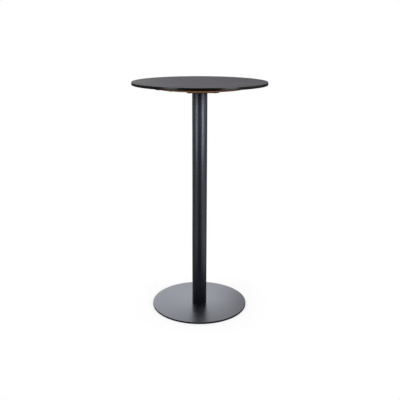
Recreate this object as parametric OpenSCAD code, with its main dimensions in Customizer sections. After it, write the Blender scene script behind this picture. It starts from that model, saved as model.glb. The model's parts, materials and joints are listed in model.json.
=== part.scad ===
// Tall round pedestal table: a thin dark top on a plywood backing board, a cross-shaped mounting
// plate, a straight steel column and a flat round steel base plate. The origin is on the floor at the
// column's axis, and Z points up. All sizes are millimetres.

/* [Overall] */
// Height of the upper surface of the tabletop above the floor
table_h = 1065; // [720:1:1150]

/* [Tabletop] */
// Diameter of the tabletop
top_d = 600; // [480:1:900]
// Thickness of the tabletop
top_t = 12; // [10:0.5:30]
// Width of the bevel on the upper and the lower edge of the tabletop's rim
top_bevel = 0.8; // [0.3:0.1:3]

/* [Threaded inserts in the tabletop] */
// Outer diameter of an insert
insert_d = 9; // [8.5:0.1:11]
// Length of an insert
insert_l = 8; // [6:0.1:9]

/* [Backing board] */
// Diameter of the plywood backing board
board_d = 400; // [320:1:460]
// Thickness of the backing board
board_t = 16; // [12:0.5:24]
// Width of the bevel on the edges of the backing board
board_bevel = 0.6; // [0.2:0.1:3]
// Distance from the backing board's edge to the centres of its screws
board_screw_edge = 30; // [16:1:40]
// Distance from the side of the mounting plate's nearest arm to the centre of a board screw
board_screw_side = 17; // [11:0.5:24]
// Thread diameter of the countersunk screws that hold the board to the tabletop
board_screw_d = 6; // [5:0.5:7]
// Length of a board screw's thread that is in its insert
board_screw_bite = 4; // [3:0.5:6]

/* [Mounting plate] */
// Distance from the backing board's edge to the end of each arm of the mounting plate
plate_edge = 5; // [2:1:24]
// Width of each arm of the mounting plate
plate_arm_w = 136; // [110:1:150]
// Thickness of the mounting plate
plate_t = 3; // [3:0.1:6]
// Radius of the corners at the ends of the arms
plate_corner = 20; // [2:0.5:24]
// Radius of the fillets between the arms
plate_fillet = 20; // [6:0.5:40]

/* [Bolts of the mounting plate] */
// Thread diameter of the hexagon bolts that hold the mounting plate to the board
bolt_d = 6; // [5:0.5:6.5]
// Distance from the end of an arm to the centres of its two bolts
bolt_inset = 65; // [20:1:80]
// Distance from the side of an arm to the centre of the nearest bolt
bolt_side = 13; // [11:0.5:24]
// Distance from a bolt's end to the tabletop
bolt_end_gap = 2.2; // [1:0.1:5]
// Thickness of a flat washer
washer_t = 1.6; // [1:0.1:2]
// Thickness of a lock washer
lock_washer_t = 1.6; // [1:0.1:2]
// Gap between the two ends of a lock washer
lock_washer_gap = 1.2; // [0.6:0.1:2]
// Diameter of the flange of a tee nut
tee_flange_d = 19; // [16:0.5:22]
// Thickness of the flange of a tee nut
tee_flange_t = 1.5; // [1:0.1:2]
// Length of a tee nut's barrel below its flange
tee_barrel_l = 8.8; // [6:0.1:9.5]
// Wall of a tee nut's barrel
tee_barrel_wall = 0.9; // [0.7:0.1:1.5]

/* [Column] */
// Outer diameter of the column tube
column_d = 68; // [60:0.5:72]
// Wall of the column tube
column_wall = 2; // [1.5:0.1:4]
// Thickness of the disc that is welded into the column's upper end
head_disc_t = 10; // [8:0.5:16]
// Thickness of the disc that is welded into the column's lower end
foot_disc_t = 12; // [9:0.5:20]
// Distance from the tube's bore to the centres of the screws in the two discs
disc_screw_edge = 12; // [10.5:0.5:14]
// Diameter of the vent hole in the middle of each disc
vent_d = 8; // [4:0.5:12]
// Thread diameter of the countersunk screws through the mounting plate
head_screw_d = 5; // [4:0.5:5]
// Length of a head screw's thread that is in the upper disc
head_screw_bite = 7; // [5:0.5:8]

/* [Base] */
// Diameter of the base plate
base_d = 450; // [360:1:600]
// Thickness of the base plate
base_t = 8; // [7:0.5:14]
// Width of the bevel on the edges of the base plate
base_bevel = 1; // [0.3:0.1:2.5]
// Thread diameter of the countersunk screws through the base plate
base_screw_d = 8; // [6:0.5:9]
// Length of a base screw's thread that is in the lower disc
base_screw_bite = 8; // [6:0.5:9]

/* [Floor glides] */
// Number of glides under the base plate
glide_count = 6; // [3:1:12]
// Diameter of a glide's head
glide_d = 22; // [14:0.5:26]
// Thickness of a glide's head, which is the base plate's height above the floor
glide_t = 2; // [1:0.1:5]
// Width of the bevel on a glide's lower edge
glide_bevel = 0.5; // [0.2:0.1:0.9]
// Diameter of the stem that is pressed into the base plate
glide_stem_d = 6; // [4:0.5:9]
// Length of a glide's stem
glide_stem_l = 5; // [3:0.1:5.5]
// Distance from the base plate's edge to the centres of the glides
glide_edge = 20; // [15:1:40]

/* [Clearances] */
// Radial gap between a thread, a stem or a head and the wall that holds it
seat_gap = 0.1; // [0.05:0.01:0.2]
// Radial gap between a bolt or screw and the hole that it only passes through
pass_gap = 0.3; // [0.2:0.05:0.5]
// Depth by which a blind hole is longer than what it holds
blind_gap = 0.5; // [0.2:0.1:0.8]

/* [Hidden] */
$fn = 96;

// Heights of the faces that the pieces meet at, from the floor up
base_z = glide_t;
column_z = base_z + base_t;
top_z = table_h - top_t;
board_z = top_z - board_t;
plate_z = board_z - plate_t;
head_disc_z = plate_z - head_disc_t;

// Shares of the thread diameter that give a countersunk head and a hexagon head their sizes
head_width_share = 2;
socket_width_share = 0.65;
socket_depth_share = 0.36;
hex_width_share = 1.65;
hex_height_share = 0.67;
washer_width_share = 2;
tip_share = 0.12;
// Height of the straight rim around a countersunk head
head_rim = 0.3;
// Length by which a cut passes the face that it opens
over = 1;

// Rings and rows that the fixings lie on
bore_r = column_d / 2 - column_wall;
disc_r = bore_r - seat_gap;
disc_screw_r = bore_r - disc_screw_edge;
disc_screw_count = 3;
disc_screw_start = 90;
board_screw_r = board_d / 2 - board_screw_edge;
board_screw_turn = asin((plate_arm_w / 2 + board_screw_side) / board_screw_r);
plate_span = board_d - 2 * plate_edge;
bolt_reach = plate_span / 2 - bolt_inset;
bolt_row = plate_arm_w / 2 - bolt_side;
glide_r = base_d / 2 - glide_edge;

// Lengths of the fixings under their heads or from their flush faces
board_screw_l = board_t + board_screw_bite;
bolt_l = lock_washer_t + washer_t + plate_t + board_t - bolt_end_gap;
head_screw_l = plate_t + head_screw_bite;
base_screw_l = base_t + base_screw_bite;
bolt_head_z = plate_z - washer_t - lock_washer_t;

// Places its children at equal steps on a circle about the Z axis
module on_ring(count, radius, start = 0) {
    for (i = [0 : count - 1])
        rotate([0, 0, start + i * 360 / count])
            translate([radius, 0, 0])
                children();
}

// Places its children at the eight bolts, two in each arm of the mounting plate
module at_bolts() {
    for (turn = [0 : 90 : 270])
        for (side = [-1, 1])
            rotate([0, 0, turn])
                translate([bolt_reach, side * bolt_row, 0])
                    children();
}

// Places its children at the eight board screws, two between each pair of arms
module at_board_screws() {
    for (turn = [0 : 90 : 270])
        for (side = [-1, 1])
            rotate([0, 0, turn + side * board_screw_turn])
                translate([board_screw_r, 0, 0])
                    children();
}

// Disc from z = 0 up with a bevel on both edges
module bevelled_disc(diameter, height, bevel) {
    radius = diameter / 2;
    rotate_extrude()
        polygon([
            [0, 0],
            [radius - bevel, 0],
            [radius, bevel],
            [radius, height - bevel],
            [radius - bevel, height],
            [0, height]
        ]);
}

// Rectangle with round corners, centred on the origin
module rounded_rectangle(length, width, radius) {
    square([length, width - 2 * radius], center = true);
    square([length - 2 * radius, width], center = true);
    for (i = [-1, 1])
        for (j = [-1, 1])
            translate([i * (length / 2 - radius), j * (width / 2 - radius)])
                circle(r = radius);
}

// Cross with round corners on its arms and fillets between them, centred on the origin
module rounded_cross(span, arm_w, corner, fillet) {
    rounded_rectangle(span, arm_w, corner);
    rounded_rectangle(arm_w, span, corner);
    for (turn = [0 : 90 : 270])
        rotate([0, 0, turn])
            difference() {
                translate([arm_w / 2 - over, arm_w / 2 - over])
                    square(fillet + over);
                translate([arm_w / 2 + fillet, arm_w / 2 + fillet])
                    circle(r = fillet);
            }
}

// Rod from z = 0 up with a bevelled tip
module tipped_rod(diameter, height) {
    tip = diameter * tip_share;
    cylinder(d = diameter, h = height - tip);
    translate([0, 0, height - tip])
        cylinder(d1 = diameter, d2 = diameter - 2 * tip, h = tip);
}

// Outer form of a countersunk head with its flush face at z = 0, made wider by a gap
module countersink(diameter, gap = 0) {
    head = diameter * head_width_share / 2;
    cylinder(r = head + gap, h = head_rim + gap);
    translate([0, 0, head_rim + gap])
        cylinder(r1 = head + gap, r2 = diameter / 2 + gap, h = head - diameter / 2);
}

// Countersunk socket screw with its flush face at z = 0 and its tip up
module countersunk_screw(diameter, height) {
    difference() {
        union() {
            countersink(diameter);
            tipped_rod(diameter, height);
        }
        translate([0, 0, -over])
            cylinder(
                d = diameter * socket_width_share / cos(30),
                h = over + diameter * socket_depth_share,
                $fn = 6
            );
    }
}

// Hole for a countersunk screw through a sheet: a countersink from z = 0 and a passage of one height
module countersunk_hole(diameter, height) {
    countersink(diameter, seat_gap);
    translate([0, 0, -over])
        cylinder(r = diameter * head_width_share / 2 + seat_gap, h = over);
    cylinder(r = diameter / 2 + pass_gap, h = height + over);
}

// Round compact tabletop with blind holes for the inserts in its underside
module tabletop() {
    color("#333236")
        translate([0, 0, top_z])
            difference() {
                bevelled_disc(top_d, top_t, top_bevel);
                at_board_screws()
                    translate([0, 0, -over])
                        cylinder(d = insert_d + 2 * seat_gap, h = over + insert_l + blind_gap);
            }
}

// Threaded brass inserts, flush with the tabletop's underside
module top_inserts() {
    color("#b08d4f")
        translate([0, 0, top_z])
            at_board_screws()
                difference() {
                    cylinder(d = insert_d, h = insert_l);
                    translate([0, 0, -over])
                        cylinder(d = board_screw_d + 2 * seat_gap, h = insert_l + 2 * over);
                }
}

// Plywood disc that spreads the load of the column under the thin top
module backing_board() {
    color("#8a6542")
        translate([0, 0, board_z])
            difference() {
                bevelled_disc(board_d, board_t, board_bevel);
                at_board_screws()
                    countersunk_hole(board_screw_d, board_t);
                at_bolts() {
                    translate([0, 0, -over])
                        cylinder(r = bolt_d / 2 + pass_gap, h = board_t + 2 * over);
                    translate([0, 0, board_t - tee_flange_t - tee_barrel_l])
                        cylinder(
                            r = bolt_d / 2 + seat_gap + tee_barrel_wall + seat_gap,
                            h = tee_barrel_l + tee_flange_t + over
                        );
                    translate([0, 0, board_t - tee_flange_t])
                        cylinder(r = tee_flange_d / 2 + seat_gap, h = tee_flange_t + over);
                }
            }
}

// Countersunk screws from below through the board into the inserts
module board_screws() {
    color("#8f9094")
        translate([0, 0, board_z])
            at_board_screws()
                countersunk_screw(board_screw_d, board_screw_l);
}

// Flanged nuts let into the board's upper face
module tee_nuts() {
    color("#a7a8ac")
        translate([0, 0, top_z])
            at_bolts()
                difference() {
                    union() {
                        translate([0, 0, -tee_flange_t])
                            cylinder(d = tee_flange_d, h = tee_flange_t);
                        translate([0, 0, -tee_flange_t - tee_barrel_l])
                            cylinder(
                                r = bolt_d / 2 + seat_gap + tee_barrel_wall,
                                h = tee_barrel_l + tee_flange_t
                            );
                    }
                    translate([0, 0, -tee_flange_t - tee_barrel_l - over])
                        cylinder(
                            r = bolt_d / 2 + seat_gap,
                            h = tee_barrel_l + tee_flange_t + 2 * over
                        );
                }
}

// Flat cross-shaped plate, which joins the column to the backing board
module mounting_plate() {
    color("#1f1f22")
        difference() {
            translate([0, 0, plate_z])
                linear_extrude(plate_t)
                    rounded_cross(plate_span, plate_arm_w, plate_corner, plate_fillet);
            translate([0, 0, plate_z - over])
                at_bolts()
                    cylinder(r = bolt_d / 2 + pass_gap, h = plate_t + 2 * over);
            translate([0, 0, board_z])
                mirror([0, 0, 1])
                    on_ring(disc_screw_count, disc_screw_r, disc_screw_start)
                        countersunk_hole(head_screw_d, plate_t);
        }
}

// Flat washers under the mounting plate
module plate_washers() {
    color("#a7a8ac")
        translate([0, 0, plate_z - washer_t])
            at_bolts()
                difference() {
                    cylinder(d = bolt_d * washer_width_share, h = washer_t);
                    translate([0, 0, -over])
                        cylinder(r = bolt_d / 2 + pass_gap, h = washer_t + 2 * over);
                }
}

// Split lock washers under the flat ones
module lock_washers() {
    color("#77787c")
        translate([0, 0, bolt_head_z])
            at_bolts()
                difference() {
                    cylinder(d = bolt_d * hex_width_share, h = lock_washer_t);
                    translate([0, 0, -over])
                        cylinder(r = bolt_d / 2 + pass_gap, h = lock_washer_t + 2 * over);
                    translate([0, -lock_washer_gap / 2, -over])
                        cube([bolt_d * hex_width_share, lock_washer_gap, lock_washer_t + 2 * over]);
                }
}

// Hexagon bolts from below through the washers and the plate into the tee nuts
module plate_bolts() {
    width = bolt_d * hex_width_share;
    height = bolt_d * hex_height_share;
    color("#8f9094")
        translate([0, 0, bolt_head_z])
            at_bolts() {
                translate([0, 0, -height / 2])
                    tipped_rod(bolt_d, bolt_l + height / 2);
                translate([0, 0, -height])
                    intersection() {
                        cylinder(d = width / cos(30), h = height, $fn = 6);
                        cylinder(d1 = width, d2 = width + 2 * height, h = height);
                    }
            }
}

// Straight steel column tube between the base plate and the mounting plate
module column_tube() {
    color("#34353a")
        translate([0, 0, column_z])
            difference() {
                cylinder(d = column_d, h = plate_z - column_z);
                translate([0, 0, -over])
                    cylinder(r = bore_r, h = plate_z - column_z + 2 * over);
            }
}

// Steel disc that fills one end of the tube, drilled for its screws and a vent
module end_disc(height, screw_d) {
    difference() {
        cylinder(r = disc_r, h = height);
        on_ring(disc_screw_count, disc_screw_r, disc_screw_start)
            translate([0, 0, -over])
                cylinder(d = screw_d + 2 * seat_gap, h = height + 2 * over);
        translate([0, 0, -over])
            cylinder(d = vent_d, h = height + 2 * over);
    }
}

// Disc welded into the upper end of the column
module head_disc() {
    color("#4a4b50")
        translate([0, 0, head_disc_z])
            end_disc(head_disc_t, head_screw_d);
}

// Countersunk screws from above through the mounting plate into the upper disc
module head_screws() {
    color("#8f9094")
        translate([0, 0, board_z])
            mirror([0, 0, 1])
                on_ring(disc_screw_count, disc_screw_r, disc_screw_start)
                    countersunk_screw(head_screw_d, head_screw_l);
}

// Disc welded into the lower end of the column
module foot_disc() {
    color("#4a4b50")
        translate([0, 0, column_z])
            end_disc(foot_disc_t, base_screw_d);
}

// Flat round steel base plate with countersunk screw holes and blind glide holes from below
module base_plate() {
    color("#3b3c41")
        translate([0, 0, base_z])
            difference() {
                bevelled_disc(base_d, base_t, base_bevel);
                on_ring(disc_screw_count, disc_screw_r, disc_screw_start)
                    countersunk_hole(base_screw_d, base_t);
                on_ring(glide_count, glide_r)
                    translate([0, 0, -over])
                        cylinder(
                            d = glide_stem_d + 2 * seat_gap,
                            h = over + glide_stem_l + blind_gap
                        );
            }
}

// Countersunk screws from below through the base plate into the lower disc
module base_screws() {
    color("#55565a")
        translate([0, 0, base_z])
            on_ring(disc_screw_count, disc_screw_r, disc_screw_start)
                countersunk_screw(base_screw_d, base_screw_l);
}

// Plastic glides that the base plate stands on, each with a stem in its hole
module floor_glides() {
    color("#19191a")
        on_ring(glide_count, glide_r) {
            cylinder(d1 = glide_d - 2 * glide_bevel, d2 = glide_d, h = glide_bevel);
            translate([0, 0, glide_bevel])
                cylinder(d = glide_d, h = glide_t - glide_bevel);
            translate([0, 0, glide_t])
                cylinder(d = glide_stem_d, h = glide_stem_l);
        }
}

tabletop();
top_inserts();
backing_board();
board_screws();
tee_nuts();
mounting_plate();
plate_washers();
lock_washers();
plate_bolts();
column_tube();
head_disc();
head_screws();
foot_disc();
base_plate();
base_screws();
floor_glides();
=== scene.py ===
import json
import math

import bmesh
import bpy
from mathutils import Matrix, Vector


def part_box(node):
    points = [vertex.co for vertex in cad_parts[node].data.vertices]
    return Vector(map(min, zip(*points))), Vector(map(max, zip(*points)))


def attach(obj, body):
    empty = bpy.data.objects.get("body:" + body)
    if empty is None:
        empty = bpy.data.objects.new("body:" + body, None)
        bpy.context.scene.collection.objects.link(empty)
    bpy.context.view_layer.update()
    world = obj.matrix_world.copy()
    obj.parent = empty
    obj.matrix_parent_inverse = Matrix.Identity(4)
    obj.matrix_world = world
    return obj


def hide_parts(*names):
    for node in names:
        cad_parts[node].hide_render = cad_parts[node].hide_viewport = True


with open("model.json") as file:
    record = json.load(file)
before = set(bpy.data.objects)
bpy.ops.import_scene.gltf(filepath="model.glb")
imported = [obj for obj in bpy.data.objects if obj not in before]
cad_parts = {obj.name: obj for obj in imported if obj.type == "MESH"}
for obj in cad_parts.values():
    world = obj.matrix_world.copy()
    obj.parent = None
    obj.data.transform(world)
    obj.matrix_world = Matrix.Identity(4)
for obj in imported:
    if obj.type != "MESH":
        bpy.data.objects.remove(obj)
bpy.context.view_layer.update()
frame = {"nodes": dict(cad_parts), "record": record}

MM = 0.001
# Distance in metres within which two places count as one
SMALL = 1e-5

# Camera, as measured from the outlines in a frame of 400 by 400 pixels
IMAGE_SIZE = 400
IMAGE_CENTRE = 199.5
FOCAL_PIXELS = 592.67
AXIS_PIXEL = 199.03
CAMERA_DISTANCE = 2.6461
CAMERA_HEIGHT = 1.2919
CAMERA_PITCH = 0.2830
CAMERA_ROLL = 0.0024
SENSOR_WIDTH = 36.0
# The table is seen turned by this angle, so the camera and the lights stand turned about it
VIEW_TURN = math.radians(-4.4)

# Sizes that the finish of the pieces adds to the construction's own
RIM_BEVEL = 0.8 * MM
FACE_INSET = 2 * MM
BOARD_BEVEL = 0.6 * MM
BASE_BEVEL = 1.0 * MM
PLIES = 11
PLY_STEP = 0.06 * MM
ARM_WIDTH = 136 * MM
ARM_CORNER = 20 * MM
ARM_FILLET = 20 * MM
PLATE_EDGE = 0.3 * MM
TUBE_WALL = 2 * MM
TUBE_BEVEL = 0.5 * MM
GLIDE_BEVEL = 0.5 * MM
GLIDE_DIMPLE = 2.5 * MM
GLIDE_DIMPLE_WALL = 0.5 * MM
GLIDE_DIMPLE_DEPTH = 0.4 * MM
# Gaps of a seat, at the end of a blind hole and round a passing screw
SEAT_GAP = 0.1 * MM
BLIND_GAP = 0.5 * MM
PASS_GAP = 0.3 * MM

# Fixings: thread diameters, shares of them that give heads and sockets their sizes, and lengths
SMALL_THREAD = 6 * MM
PLATE_THREAD = 5 * MM
LARGE_THREAD = 8 * MM
HEAD_RIM = 0.3 * MM
HEAD_BEVEL = 0.12 * MM
TIP_SHARE = 0.12
SOCKET_WIDTH = 0.65
SOCKET_DEPTH = 0.36
DRILL_DEPTH = 0.08
DRILL_RADIUS = 0.42 * SOCKET_WIDTH
HEX_WIDTH = 1.65
HEX_SIDES = 6
# A hexagon's flats lie at this share of the radius of its corners
HEX_FLATS = math.cos(math.pi / HEX_SIDES)
WASHER_BEVEL = 0.25 * MM
SLIT_WIDTH = 1.2 * MM
SLIT_SLANT = math.radians(12)
INSERT_WIDTH = 9 * MM
BARREL_WALL = 0.9 * MM
FLANGE_WIDTH = 19 * MM
GLIDE_WIDTH = 22 * MM
FLANGE_THICKNESS = 1.5 * MM
# Length by which the parts of a cutter overlap
CUTTER_OVERLAP = 0.05 * MM

ROUND_SEGMENTS = 256
TUBE_SEGMENTS = 128
SCREW_SEGMENTS = 48
SMOOTH_ANGLE = math.radians(32)
FLAT_ANGLE = math.radians(0.5)
FLAT_FACE_CORNERS = 8
# Least share of a normal along an axis for a face that stands square to it
SQUARE = 0.999
# Decimals of a place in metres
PLACE_DIGITS = 5


def node_size(name):
    """Lowest corner, highest corner and half width of a construction node."""
    low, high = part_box(name)
    return low, high, (high.x - low.x) / 2


# Making and shaping pieces

def deselect():
    bpy.ops.object.select_all(action="DESELECT")


def activate(piece):
    deselect()
    piece.select_set(True)
    bpy.context.view_layer.objects.active = piece


def name_piece(piece, name):
    piece.name = name
    piece.data.name = name


def settle(name):
    """Names a new primitive and puts its place, turn and size into its mesh."""
    piece = bpy.context.object
    name_piece(piece, name)
    bpy.ops.object.transform_apply(location=True, rotation=True, scale=True)
    return piece


def add_cylinder(name, radius, low, high, segments, at=(0, 0), fill="NGON", turn=0.0):
    """Cylinder between two heights, as the start of a round piece."""
    deselect()
    bpy.ops.mesh.primitive_cylinder_add(
        vertices=segments,
        radius=radius,
        depth=high - low,
        end_fill_type=fill,
        location=(at[0], at[1], (low + high) / 2),
        rotation=(0, 0, turn),
    )
    return settle(name)


def add_cone(name, low_radius, high_radius, low, high, segments, at=(0, 0)):
    """Cone frustum between two heights."""
    deselect()
    bpy.ops.mesh.primitive_cone_add(
        vertices=segments,
        radius1=low_radius,
        radius2=high_radius,
        depth=high - low,
        location=(at[0], at[1], (low + high) / 2),
    )
    return settle(name)


def start_edit(piece, mode="FACE"):
    activate(piece)
    bpy.ops.object.mode_set(mode="EDIT")
    bpy.ops.mesh.select_mode(type=mode)
    bpy.ops.mesh.select_all(action="DESELECT")


def end_edit():
    bpy.ops.object.mode_set(mode="OBJECT")


def pick_faces(piece, test):
    """Selects the faces whose centre and normal pass a test."""
    bpy.ops.mesh.select_all(action="DESELECT")
    shape = bmesh.from_edit_mesh(piece.data)
    for face in shape.faces:
        face.select_set(bool(test(face.calc_center_median(), face.normal)))
    bmesh.update_edit_mesh(piece.data)


def pick_edges(piece, test):
    """Selects the edges whose pair of ends passes a test."""
    bpy.ops.mesh.select_all(action="DESELECT")
    shape = bmesh.from_edit_mesh(piece.data)
    for edge in shape.edges:
        edge.select_set(bool(test(edge.verts[0].co, edge.verts[1].co)))
    bmesh.update_edit_mesh(piece.data)


def bevel_selected(width, segments):
    bpy.ops.mesh.bevel(offset=width, segments=segments, affect="EDGES", clamp_overlap=True)


def level_edges(*heights):
    """Test for edges that lie at one of some heights and run round the piece."""
    def test(a, b):
        level = any(abs(a.z - z) < SMALL and abs(b.z - z) < SMALL for z in heights)
        return level and abs(a.xy.length - b.xy.length) < SMALL
    return test


def upright_edges(x, y):
    """Test for upright edges that stand at a distance from both axes."""
    def test(a, b):
        here = abs(abs(a.x) - x) < SMALL and abs(abs(a.y) - y) < SMALL
        return here and (a.xy - b.xy).length < SMALL
    return test


def grow(height, scale, at, level):
    """Extrudes the selected faces upward and scales their new end about a point in plan."""
    bpy.ops.mesh.extrude_region_move(TRANSFORM_OT_translate={"value": (0, 0, height)})
    bpy.ops.transform.resize(value=(scale, scale, 1), center_override=(at[0], at[1], level))


def add_modifier(piece, kind, **settings):
    activate(piece)
    modifier = piece.modifiers.new(kind.title(), kind)
    for name, value in settings.items():
        setattr(modifier, name, value)
    bpy.ops.object.modifier_apply(modifier=modifier.name)


def join(pieces, name):
    """Joins pieces into the first of them."""
    deselect()
    for piece in pieces:
        piece.select_set(True)
    bpy.context.view_layer.objects.active = pieces[0]
    if len(pieces) > 1:
        bpy.ops.object.join()
    joined = bpy.context.view_layer.objects.active
    name_piece(joined, name)
    return joined


def combine(piece, others, operation):
    """Cuts other pieces from a piece, adds them or keeps what they share, and removes them."""
    tool = join(others, "tool")
    add_modifier(piece, "BOOLEAN", object=tool, operation=operation, solver="EXACT")
    bpy.data.objects.remove(tool)


def copy_piece(piece, name, start, place, turn):
    """Copy with a mesh of its own, moved in plan from one place to another and turned there."""
    twin = piece.copy()
    twin.data = piece.data.copy()
    move = (
        Matrix.Translation((*place, 0))
        @ Matrix.Rotation(turn, 4, "Z")
        @ Matrix.Translation((-start[0], -start[1], 0))
    )
    twin.data.transform(move)
    name_piece(twin, name)
    bpy.context.scene.collection.objects.link(twin)
    return twin


def smooth(piece):
    """Smooth shading up to an angle, but large flat faces stay flat."""
    activate(piece)
    bpy.ops.object.shade_smooth_by_angle(angle=SMOOTH_ANGLE)
    for face in piece.data.polygons:
        if len(face.vertices) > FLAT_FACE_CORNERS:
            face.use_smooth = False


def fit_out(piece, slot, node):
    """Gives a finished piece its material and its place in the frame."""
    smooth(piece)
    piece.data.materials.clear()
    piece.data.materials.append(MATERIALS[slot])
    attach(piece, "root")
    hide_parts(node)
    return piece


# Places of the fixings, from the construction's own nodes

def island_centres(name):
    """Centres in plan of the separate solids of a node, in a steady order."""
    mesh = frame["nodes"][name].data
    shape = bmesh.new()
    shape.from_mesh(mesh)
    bmesh.ops.remove_doubles(shape, verts=shape.verts, dist=SMALL)
    left = set(shape.verts)
    centres = []
    while left:
        queue = [left.pop()]
        found = list(queue)
        while queue:
            for edge in queue.pop().link_edges:
                for vertex in edge.verts:
                    if vertex in left:
                        left.remove(vertex)
                        found.append(vertex)
                        queue.append(vertex)
        xs = [v.co.x for v in found]
        ys = [v.co.y for v in found]
        centres.append(((min(xs) + max(xs)) / 2, (min(ys) + max(ys)) / 2))
    shape.free()
    return sorted((round(x, PLACE_DIGITS), round(y, PLACE_DIGITS)) for x, y in centres)


def arm_turn(place):
    """Direction of the plate's arm that a bolt sits in."""
    quarter = math.pi / 2
    return round(math.atan2(place[1], place[0]) / quarter) * quarter


def around_axis(place):
    """Direction of a place as seen from the column's axis."""
    return math.atan2(place[1], place[0])


# Nodes of the materials

def feed(tree, node, inputs):
    """Links sockets to the inputs of a node, or sets the inputs to values."""
    for key, value in inputs.items():
        if isinstance(value, bpy.types.NodeSocket):
            tree.links.new(value, node.inputs[key])
        else:
            node.inputs[key].default_value = value


def add_node(tree, kind, inputs=None, **settings):
    """Shader node with its settings made and its inputs fed."""
    made = tree.nodes.new(kind)
    for name, value in settings.items():
        setattr(made, name, value)
    feed(tree, made, inputs or {})
    return made


def calculate(tree, operation, a, b=0.0, clamp=False):
    return add_node(
        tree, "ShaderNodeMath", {0: a, 1: b}, operation=operation, use_clamp=clamp
    ).outputs[0]


def times(tree, first, *others):
    for value in others:
        first = calculate(tree, "MULTIPLY", first, value)
    return first


def plus(tree, first, *others):
    for value in others:
        first = calculate(tree, "ADD", first, value)
    return first


def minus(tree, a, b):
    return calculate(tree, "SUBTRACT", a, b)


# A Mix node takes its colours at the sockets 6 and 7, and its values at 2 and 3

def mix_colors(tree, factor, a, b):
    return add_node(tree, "ShaderNodeMix", {0: factor, 6: a, 7: b}, data_type="RGBA").outputs[2]


def mix_values(tree, factor, a, b):
    return add_node(tree, "ShaderNodeMix", {0: factor, 2: a, 3: b}, data_type="FLOAT").outputs[0]


def remap(tree, value, low, high, new_low=0.0, new_high=1.0):
    """Smooth change from a first to a second new value while the old one goes from low to high."""
    return add_node(
        tree,
        "ShaderNodeMapRange",
        {"Value": value, "From Min": low, "From Max": high, "To Min": new_low, "To Max": new_high},
        interpolation_type="SMOOTHSTEP",
    ).outputs[0]


def noise(tree, vector, scale, detail=3.0, roughness=0.55, distortion=0.0):
    return add_node(
        tree,
        "ShaderNodeTexNoise",
        {
            "Vector": vector,
            "Scale": scale,
            "Detail": detail,
            "Roughness": roughness,
            "Distortion": distortion,
        },
    ).outputs["Fac"]


def stretch(tree, vector, scale, turn=0.0):
    """Coordinates scaled along each axis and turned about the vertical."""
    return add_node(
        tree, "ShaderNodeMapping", {"Vector": vector, "Scale": scale, "Rotation": (0, 0, turn)}
    ).outputs[0]


def object_vector(tree):
    return add_node(tree, "ShaderNodeTexCoord").outputs["Object"]


def radius_of(tree, vector):
    """Distance from the column's axis."""
    flat = add_node(
        tree, "ShaderNodeVectorMath", {0: vector, 1: (1.0, 1.0, 0.0)}, operation="MULTIPLY"
    ).outputs[0]
    return add_node(tree, "ShaderNodeVectorMath", {0: flat}, operation="LENGTH").outputs["Value"]


def height_of(tree, vector):
    return add_node(tree, "ShaderNodeSeparateXYZ", {0: vector}).outputs["Z"]


def new_group(name, inputs, outputs):
    """Shader node group, its inputs and its end. All its sockets but Vector are numbers."""
    tree = bpy.data.node_groups.new(name, "ShaderNodeTree")
    for side, labels in (("INPUT", inputs), ("OUTPUT", outputs)):
        for label in labels:
            kind = "NodeSocketVector" if label == "Vector" else "NodeSocketFloat"
            tree.interface.new_socket(name=label, in_out=side, socket_type=kind)
    return tree, tree.nodes.new("NodeGroupInput").outputs, tree.nodes.new("NodeGroupOutput")


# Powder coat: scale of its pebbles, and scales of its other patterns as shares of that
PEBBLE_SCALE = 1500.0
PEEL_SCALE = 0.22
SPECK_SCALE = 0.09
WAVE_SCALE = 0.02
MOTTLE_SCALE = 0.006
# Shares of these patterns in the coat's relief, and its height
PEBBLE_RELIEF = 0.18
PEEL_RELIEF = 0.28
WAVE_RELIEF = 0.8
SPECK_RELIEF = 0.6
COAT_RELIEF = 0.02 * MM
# Widths of the masks of eased edges
LAMINATE_RIM = 0.5 * MM
COAT_RIM = 0.7 * MM
# Painted shade on the upright rim of a disc: the share of the coat's tone that is left there
PAINTED_RIM_SHADE = 0.06
# The coat of a disc is smoother by this roughness within the first radius, less so to the second
WIPED_SHINE = 0.08
WIPED_RING = (0.03, 0.21)
# Painted shade at the column's foot: its reflections are dimmed to this share of its gloss at the
# floor, and are whole above the second height
FOOT_SHADE_GLOSS = 0.15
FOOT_HEIGHTS = (0.0, 0.21)
# Range in which a noise turns into soft patches
PATCHES = (0.3, 0.7)
# Shares of marks in the tone under them
DUST_SHARE = 0.10
FLECK_SHARE = 0.35
SPECK_SHARE = 0.3
PORE_SHARE = 0.55
GLUE_SHARE = 0.6
LAMINATE_WEAR = 0.06
COAT_WEAR = 0.2
# Roughness of the laminate untouched and wiped, of its core, and of the plywood's face and edge
LAMINATE_ROUGHNESS = (0.62, 0.56)
CORE_ROUGHNESS = 0.24
PLYWOOD_ROUGHNESS = (0.5, 0.72)
# Roughness that scratches take away, and that smears on a coat add
LAMINATE_SCRATCHES = 0.08
COAT_SCRATCHES = 0.05
COAT_SMEARS = 0.02


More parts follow.
